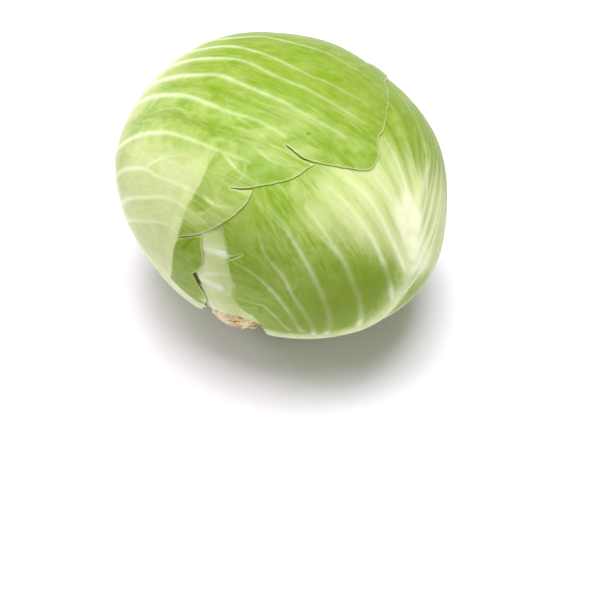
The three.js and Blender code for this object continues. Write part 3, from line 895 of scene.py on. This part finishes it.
# Where leaf_1 and leaf_2 are darkest, lightest or whitest. The fold on leaf_1 and the low side of
# leaf_2 get painted shade.
DARK_LOBE = curve_through(seen((186, 246), (190, 262), (188, 282)), hidden((-50, -60), (-52, -70)))
PAINTED_FOLD_SHADE = curve_through(seen((184, 247), (188, 243), (193, 238)))
LIGHT_LOBES = curve_through(seen((285, 160), (250, 176), (216, 210), (204, 224)))
HOLE = curve_through(seen((193, 271), (196, 276), (199, 283)))
DARK_SPOT = seen((308, 134))
FAN = curve_through(seen((422, 262), (415, 245), (412, 228), (409, 212)))
PAINTED_SHADE_SIDE = curve_through(seen((318, 322), (345, 303), (376, 288), (396, 278)))
GREEN_SIDE = curve_through(seen((240, 258), (262, 276), (290, 300)))


def latitude_of(dirs):
    return np.arcsin(np.clip(dirs @ APEX, -1, 1)) / RAD


def rays(place):
    """1 along the side veins, down to 0 half way between them."""
    return 0.5 + 0.5 * np.cos(2 * math.pi * place)


# The tones of a leaf are how pale, how dark and how white it is in some directions. Distances
# from lines on it are in millimetres and latitudes in degrees.
def leaf_1_tones(leaf, dirs, place):
    """Pale beside the midrib, and over the gap that ends at the edge of leaf_3."""
    index, distance = nearest(dirs, PALE_LIMIT)
    k = np.clip(index, 1, len(PALE_LIMIT) - 2)
    along = PALE_LIMIT[k + 1] - PALE_LIMIT[k - 1]
    offset = dirs - PALE_LIMIT[k]
    left = np.einsum("ij,ij->i", np.cross(PALE_LIMIT[k], along), offset) < 0
    signed = np.where(left, distance, -distance)
    latitude = latitude_of(dirs)
    patch = smooth(-0.7, 0.7, signed) * (1 - smooth(40, 80, signed))
    patch *= 1 - smooth(-9, 7, latitude)
    from_rib = nearest(dirs, leaf.midrib)[1]
    to_tip = smooth(20, 62, latitude)
    beside = (1 - smooth(15, 85, from_rib)) * (1 - to_tip)
    light = 1 - smooth(4, 28, nearest(dirs, LIGHT_LOBES)[1])
    to_stem = 1 - smooth(-72, -50, latitude)
    pale = np.max([0.8 * patch, beside, 0.14 + 0.12 * light], axis=0) + 0.3 * to_stem
    # Painted shade in the fold of the lowest lobe.
    fold_shade = 1.5 * (1 - smooth(-1, 5, nearest(dirs, PAINTED_FOLD_SHADE)[1]))
    spot = 1.6 * (1 - smooth(0.3, 1.2, nearest(dirs, DARK_SPOT)[1]))
    lobe = (1 - smooth(7, 16, nearest(dirs, DARK_LOBE)[1])) * (signed < 0)
    # Painted shade: leaf_1 is coloured darker towards the top of the head, away from the midrib.
    top_shade = 0.7 * smooth(0, 36, latitude) * (1 - 0.9 * beside)
    white = (0.42 + 0.4 * rays(place)) * (1 - smooth(5, 62, from_rib)) * (1 - to_tip)
    between = 0.75 * (1 - rays(place)) * (1 - beside) * (1 - patch)
    between *= smooth(-30, 0, latitude) * (1 - 0.9 * light)
    dark = np.max([0.65 * lobe, fold_shade, spot, top_shade, between], axis=0)
    return np.clip(pale * (1 - lobe), 0, 1), dark, white * (1 - lobe)


def leaf_2_tones(leaf, dirs, place):
    """White at the broad midrib, from where paleness runs up between the side veins."""
    distance = nearest(dirs, leaf.midrib)[1]
    latitude = latitude_of(dirs)
    band = smooth(-20, -6, latitude) * (1 - smooth(10, 34, latitude))
    rib = (1 - smooth(3, 15, distance)) * (1 - smooth(5, 25, latitude))
    band *= (1 - smooth(30, 80, distance)) * (0.85 + 0.3 * rays(place))
    pale = np.maximum(band, rib * (0.45 + 0.6 * band))
    # Painted shade: leaf_2 is coloured darker and more olive low at the right, where it turns down
    # towards the table.
    low = 1.15 * (1 - smooth(2, 55, nearest(dirs, PAINTED_SHADE_SIDE)[1]))
    low *= 1 - 0.85 * smooth(-20, -8, latitude)
    high = (0.95 - 0.6 * rays(place)) * smooth(6, 26, latitude)
    green = 0.55 * (1 - smooth(8, 42, nearest(dirs, GREEN_SIDE)[1]))
    dark = np.max([low, high, green], axis=0)
    from_fan = nearest(dirs, FAN)[1]
    pale *= 1 - 0.3 * (1 - smooth(20, 60, from_fan))
    white = 0.72 * (1 - smooth(2, 15, from_fan))
    white += 0.25 * rays(place) * (1 - smooth(8, 44, from_fan))
    return np.clip(pale, 0, 1), dark * (1 - 0.8 * rib), np.clip(white, 0, 1)


def inner_leaf_tones(leaf, dirs, place):
    """Pale all over, most so at the midrib, with a deep shadow in the hole beside leaf_1."""
    pale = 0.3 + 0.5 * (1 - smooth(4, 22, nearest(dirs, leaf.midrib)[1]))
    dark = 2 * (1 - smooth(0.7, 1.9, nearest(dirs, HOLE)[1]))
    return pale, dark, 0.2 * rays(place)


VEINS_ON_LEAF = vein_tree()


def finished_leaf(leaf, veins, forks, rib, tones, skin):
    """A leaf with its midrib and side veins raised. The rib is its width and height."""
    piece = blade(leaf, veins, tones)
    passes = (
        ([(rib[0], rib[1], leaf.midrib)], 0.35, False, 0.05),
        (veins, 0.3, True, 0.05),
        (forks, 0.3, True, 0.4),
    )
    for lines, fade, with_mirror, fade_in in passes:
        if lines:
            guide = vein_lines(leaf, leaf.name + "_lines", lines, fade, with_mirror, fade_in)
            through_tree(
                piece,
                VEINS_ON_LEAF,
                Vein_lines=guide,
                Width=0.85,
                Height=0.65,
                Middle=tuple(HEAD_MIDDLE * MM),
                Skin=skin,
            )
            bpy.data.meshes.remove(guide.data)
    return piece


HEART_COLUMNS = 96
HEART_ROWS = 56
HEART_GAP = 0.1  # between the heart and the surface that the leaves lie on
SOCKET_LATITUDE = -72
SOCKET_FIT = 1.5  # how far the stem goes into the wall of its socket, and out of sight
SOCKET_FLOOR = STEM_ROOT + 4


def beside(longitude, out, down):
    """Points beside the stem-to-apex line, so far out from it and so far towards the stem."""
    return direction(longitude, np.zeros_like(longitude)) * out - APEX * down


def heart():
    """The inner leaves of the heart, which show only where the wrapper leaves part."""
    longitude = np.arange(HEART_COLUMNS) * 360 / HEART_COLUMNS
    rings = []
    for row in range(1, HEART_ROWS + 1):
        latitude = 90 - row * (90 - SOCKET_LATITUDE) / HEART_ROWS
        dirs = direction(longitude, np.full(HEART_COLUMNS, latitude))
        rings.append(dirs * (core_reach(dirs) - HEART_GAP)[:, None])
    rings.append(beside(longitude, STEM_RADIUS - SOCKET_FIT, SOCKET_FLOOR))
    ends = [APEX * (core_reach(APEX[None])[0] - HEART_GAP), -APEX * SOCKET_FLOOR]
    points = np.concatenate([ends[:1], *rings, ends[1:]])
    faces = []
    for k in range(HEART_COLUMNS):
        after = (k + 1) % HEART_COLUMNS
        faces.append((0, 1 + k, 1 + after))
        for ring in range(len(rings) - 1):
            first = 1 + ring * HEART_COLUMNS
            below = first + HEART_COLUMNS
            faces.append((first + k, below + k, below + after, first + after))
        first = 1 + (len(rings) - 1) * HEART_COLUMNS
        faces.append((first + k, len(points) - 1, first + after))
    dirs = unit(points)
    values = {
        "pale": np.full(len(points), 0.8),
        "dark": np.zeros(len(points)),
        "rim": np.zeros(len(points)),
        "vein": np.zeros(len(points)),
        "flow": np.stack([4 * dirs @ SIDE, 4 * dirs @ APEX, dirs @ FRONT], axis=1),
    }
    piece = new_object("heart_core", HEAD_MIDDLE + points, [], faces, values)
    piece.data.materials.append(INNER_SKIN)
    return piece


def stem_tree():
    """A short stump standing on Z: crumbly, ringed by the scars of leaves, with a worn rim."""
    tree = bpy.data.node_groups.new("cut_stem", "GeometryNodeTree")
    for name in ("Radius", "Length", "Crumble", "Scar", "Sag"):
        tree.interface.new_socket(name, in_out="INPUT", socket_type="NodeSocketFloat")
    tree.interface.new_socket("Flesh", in_out="INPUT", socket_type="NodeSocketMaterial")
    tree.interface.new_socket("Stem", in_out="OUTPUT", socket_type="NodeSocketGeometry")
    given = tree.nodes.new("NodeGroupInput").outputs
    add = partial(add_node, tree)
    stump = add(
        "GeometryNodeMeshCylinder",
        {
            "Vertices": 144,
            "Side Segments": 30,
            "Fill Segments": 26,
            "Radius": given["Radius"],
            "Depth": given["Length"],
        },
    )
    place = add("GeometryNodeInputPosition")
    height = add("ShaderNodeSeparateXYZ", [place], 2)
    # Lumps about 6 mm across and crumbs about 1.6 mm across.
    lumps = add(NOISE, {"Vector": place, "Scale": 210.0, "Detail": 3.0, "Roughness": 0.6})
    crumbs = add(NOISE, {"Vector": place, "Scale": 620.0, "Detail": 2.0, "Roughness": 0.6})
    rough = add(MATH, [crumbs, 0.45, lumps], operation="MULTIPLY_ADD")
    rough = add(MATH, [rough, 0.5], operation="SUBTRACT")
    rough = add(MATH, [rough, given["Crumble"]], operation="MULTIPLY")
    # The scars of cut leaves, about 4 mm apart and uneven.
    turn = add(MATH, [lumps, 9.0], operation="MULTIPLY")
    turn = add(MATH, [height, 1500.0, turn], operation="MULTIPLY_ADD")
    scars = add(MATH, [turn], operation="SINE")
    out = add(MATH, [scars, given["Scar"], rough], operation="MULTIPLY_ADD")
    # The cut is domed: it sags towards the rim with the square of the distance out.
    out_share = add(VECTOR, [place, (1.0, 1.0, 0.0)], operation="MULTIPLY")
    out_share = add(VECTOR, [out_share], "Value", operation="LENGTH")
    out_share = add(MATH, [out_share, given["Radius"]], operation="DIVIDE")
    sag = add(MATH, [out_share, 2.0], operation="POWER")
    sag = add(MATH, [sag, given["Sag"]], operation="MULTIPLY")
    sag = add(VECTOR, {0: (0.0, 0.0, -1.0), "Scale": sag}, operation="SCALE")
    from_top = add(MATH, [given["Length"], 0.5], operation="MULTIPLY")
    from_top = add(MATH, [from_top, height], operation="SUBTRACT")
    worn = add(RANGE, [from_top, 0.0, 7 * MM, 0.72, 1.0], **EASED)
    flared = add(RANGE, [from_top, 0.0, 6 * MM, 1.0, 1.42], **EASED)
    wide = add(MATH, [worn, flared], operation="MULTIPLY")
    shape = add("ShaderNodeCombineXYZ", [wide, wide, 1.0])
    shaped = add(VECTOR, [place, shape], operation="MULTIPLY")
    normal = add("GeometryNodeInputNormal")
    offset = add(VECTOR, {0: normal, "Scale": out}, operation="SCALE")
    offset = add(VECTOR, [offset, sag], operation="ADD")
    moved = add(
        "GeometryNodeSetPosition", {"Geometry": stump, "Position": shaped, "Offset": offset}
    )
    real = add("GeometryNodeRealizeInstances", [moved])
    dressed = add("GeometryNodeSetMaterial", {"Geometry": real, "Material": given["Flesh"]})
    add("NodeGroupOutput", [dressed])
    return tree


def stem():
    piece = new_object("cut_stem", np.zeros((1, 3)), [], [], {})
    length = STEM_REACH - STEM_ROOT
    through_tree(
        piece,
        stem_tree(),
        Radius=(STEM_RADIUS - 0.6) * MM,
        Length=length * MM,
        Crumble=4.5 * MM,
        Scar=0.25 * MM,
        Sag=3.5 * MM,
        Flesh=stem_flesh("dry_cut_stem"),
    )
    across = unit(np.cross(APEX, FRONT))
    turn = np.eye(4)
    turn[:3, :3] = np.stack([across, np.cross(-APEX, across), -APEX], axis=1)
    turn[:3, 3] = (HEAD_MIDDLE - APEX * (STEM_ROOT + length / 2)) * MM
    piece.data.transform(Matrix(turn.tolist()))
    piece.data.polygons.foreach_set("use_smooth", np.ones(len(piece.data.polygons), bool))
    return piece


PIECES = [
    (
        finished_leaf(LEAF_1, LEAF_1_VEINS, LEAF_1_FORKS, (4.8, 4.6), leaf_1_tones, OUTER_SKIN),
        "leaf_1",
        "outer_leaf",
    ),
    (
        finished_leaf(LEAF_2, LEAF_2_VEINS, LEAF_2_FORKS, (8, 5.0), leaf_2_tones, OUTER_SKIN),
        "leaf_2",
        "outer_leaf",
    ),
    (
        finished_leaf(LEAF_3, LEAF_3_VEINS, [], (3, 0.6), inner_leaf_tones, INNER_SKIN),
        "leaf_3",
        "inner_leaf",
    ),
    (
        finished_leaf(LEAF_4, LEAF_4_VEINS, [], (5, 1.5), inner_leaf_tones, INNER_SKIN),
        "leaf_4",
        "inner_leaf",
    ),
    (heart(), "heart", "heart"),
    (stem(), "stem", "stem"),
]
for piece, node, finish in PIECES:
    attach(piece, "root")
    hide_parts(node)


# The studio: a white table, a big soft light overhead, three weak ones low around the head, and
# a room that lights it evenly.
def table():
    """Matt white card: it gives the eye an even floor and a soft shadow."""
    material, add = new_material("matt_white_table")
    card = {"Base Color": linear("#f4effb"), "Roughness": 0.9}
    add("ShaderNodeOutputMaterial", {"Surface": add("ShaderNodeBsdfPrincipled", card)})
    size = 3000
    corners = np.array([[-size, -size, 0], [size, -size, 0], [size, size, 0], [-size, size, 0]])
    floor = new_object("table", corners, [], [(0, 1, 2, 3)], {})
    floor.data.materials.append(material)


def soft_light(name, place, size, watts):
    """A square light so many metres wide, facing the head."""
    data = bpy.data.lights.new(name, "AREA")
    data.size = size
    data.energy = watts
    light = bpy.data.objects.new(name, data)
    bpy.context.collection.objects.link(light)
    light.location = place
    toward = Vector((HEAD_MIDDLE * MM).tolist()) - Vector(place)
    light.rotation_euler = toward.to_track_quat("-Z", "Y").to_euler()


def camera():
    data = bpy.data.cameras.new("camera")
    data.sensor_width = 36
    data.lens = 100
    made = bpy.data.objects.new("camera", data)
    bpy.context.collection.objects.link(made)
    offset = (FRAME_MIDDLE - HEAD_PIXEL) * PIXEL
    eye = HEAD_MIDDLE + FRONT * EYE_DISTANCE + RIGHT * offset[0] - UP * offset[1]
    turn = np.eye(4)
    turn[:3, :3] = np.stack([RIGHT, UP, FRONT], axis=1)
    turn[:3, 3] = eye * MM
    made.matrix_world = Matrix(turn.tolist())
    bpy.context.scene.camera = made


table()
soft_light("key", (-0.02, 0.0, 1.55), 1.0, 35)
soft_light("left", (-1.3, 0.2, 0.4), 0.6, 7)
soft_light("right", (1.3, 0.5, 0.4), 0.6, 4)
soft_light("front", (0.6, -1.35, 0.2), 0.6, 5)
world = bpy.data.worlds.new("bright_room")
world.use_nodes = True
world.node_tree.nodes["Background"].inputs["Color"].default_value = (1, 1, 1, 1)
world.node_tree.nodes["Background"].inputs["Strength"].default_value = 0.17
bpy.context.scene.world = world
bpy.context.scene.view_settings.view_transform = "Standard"
camera()
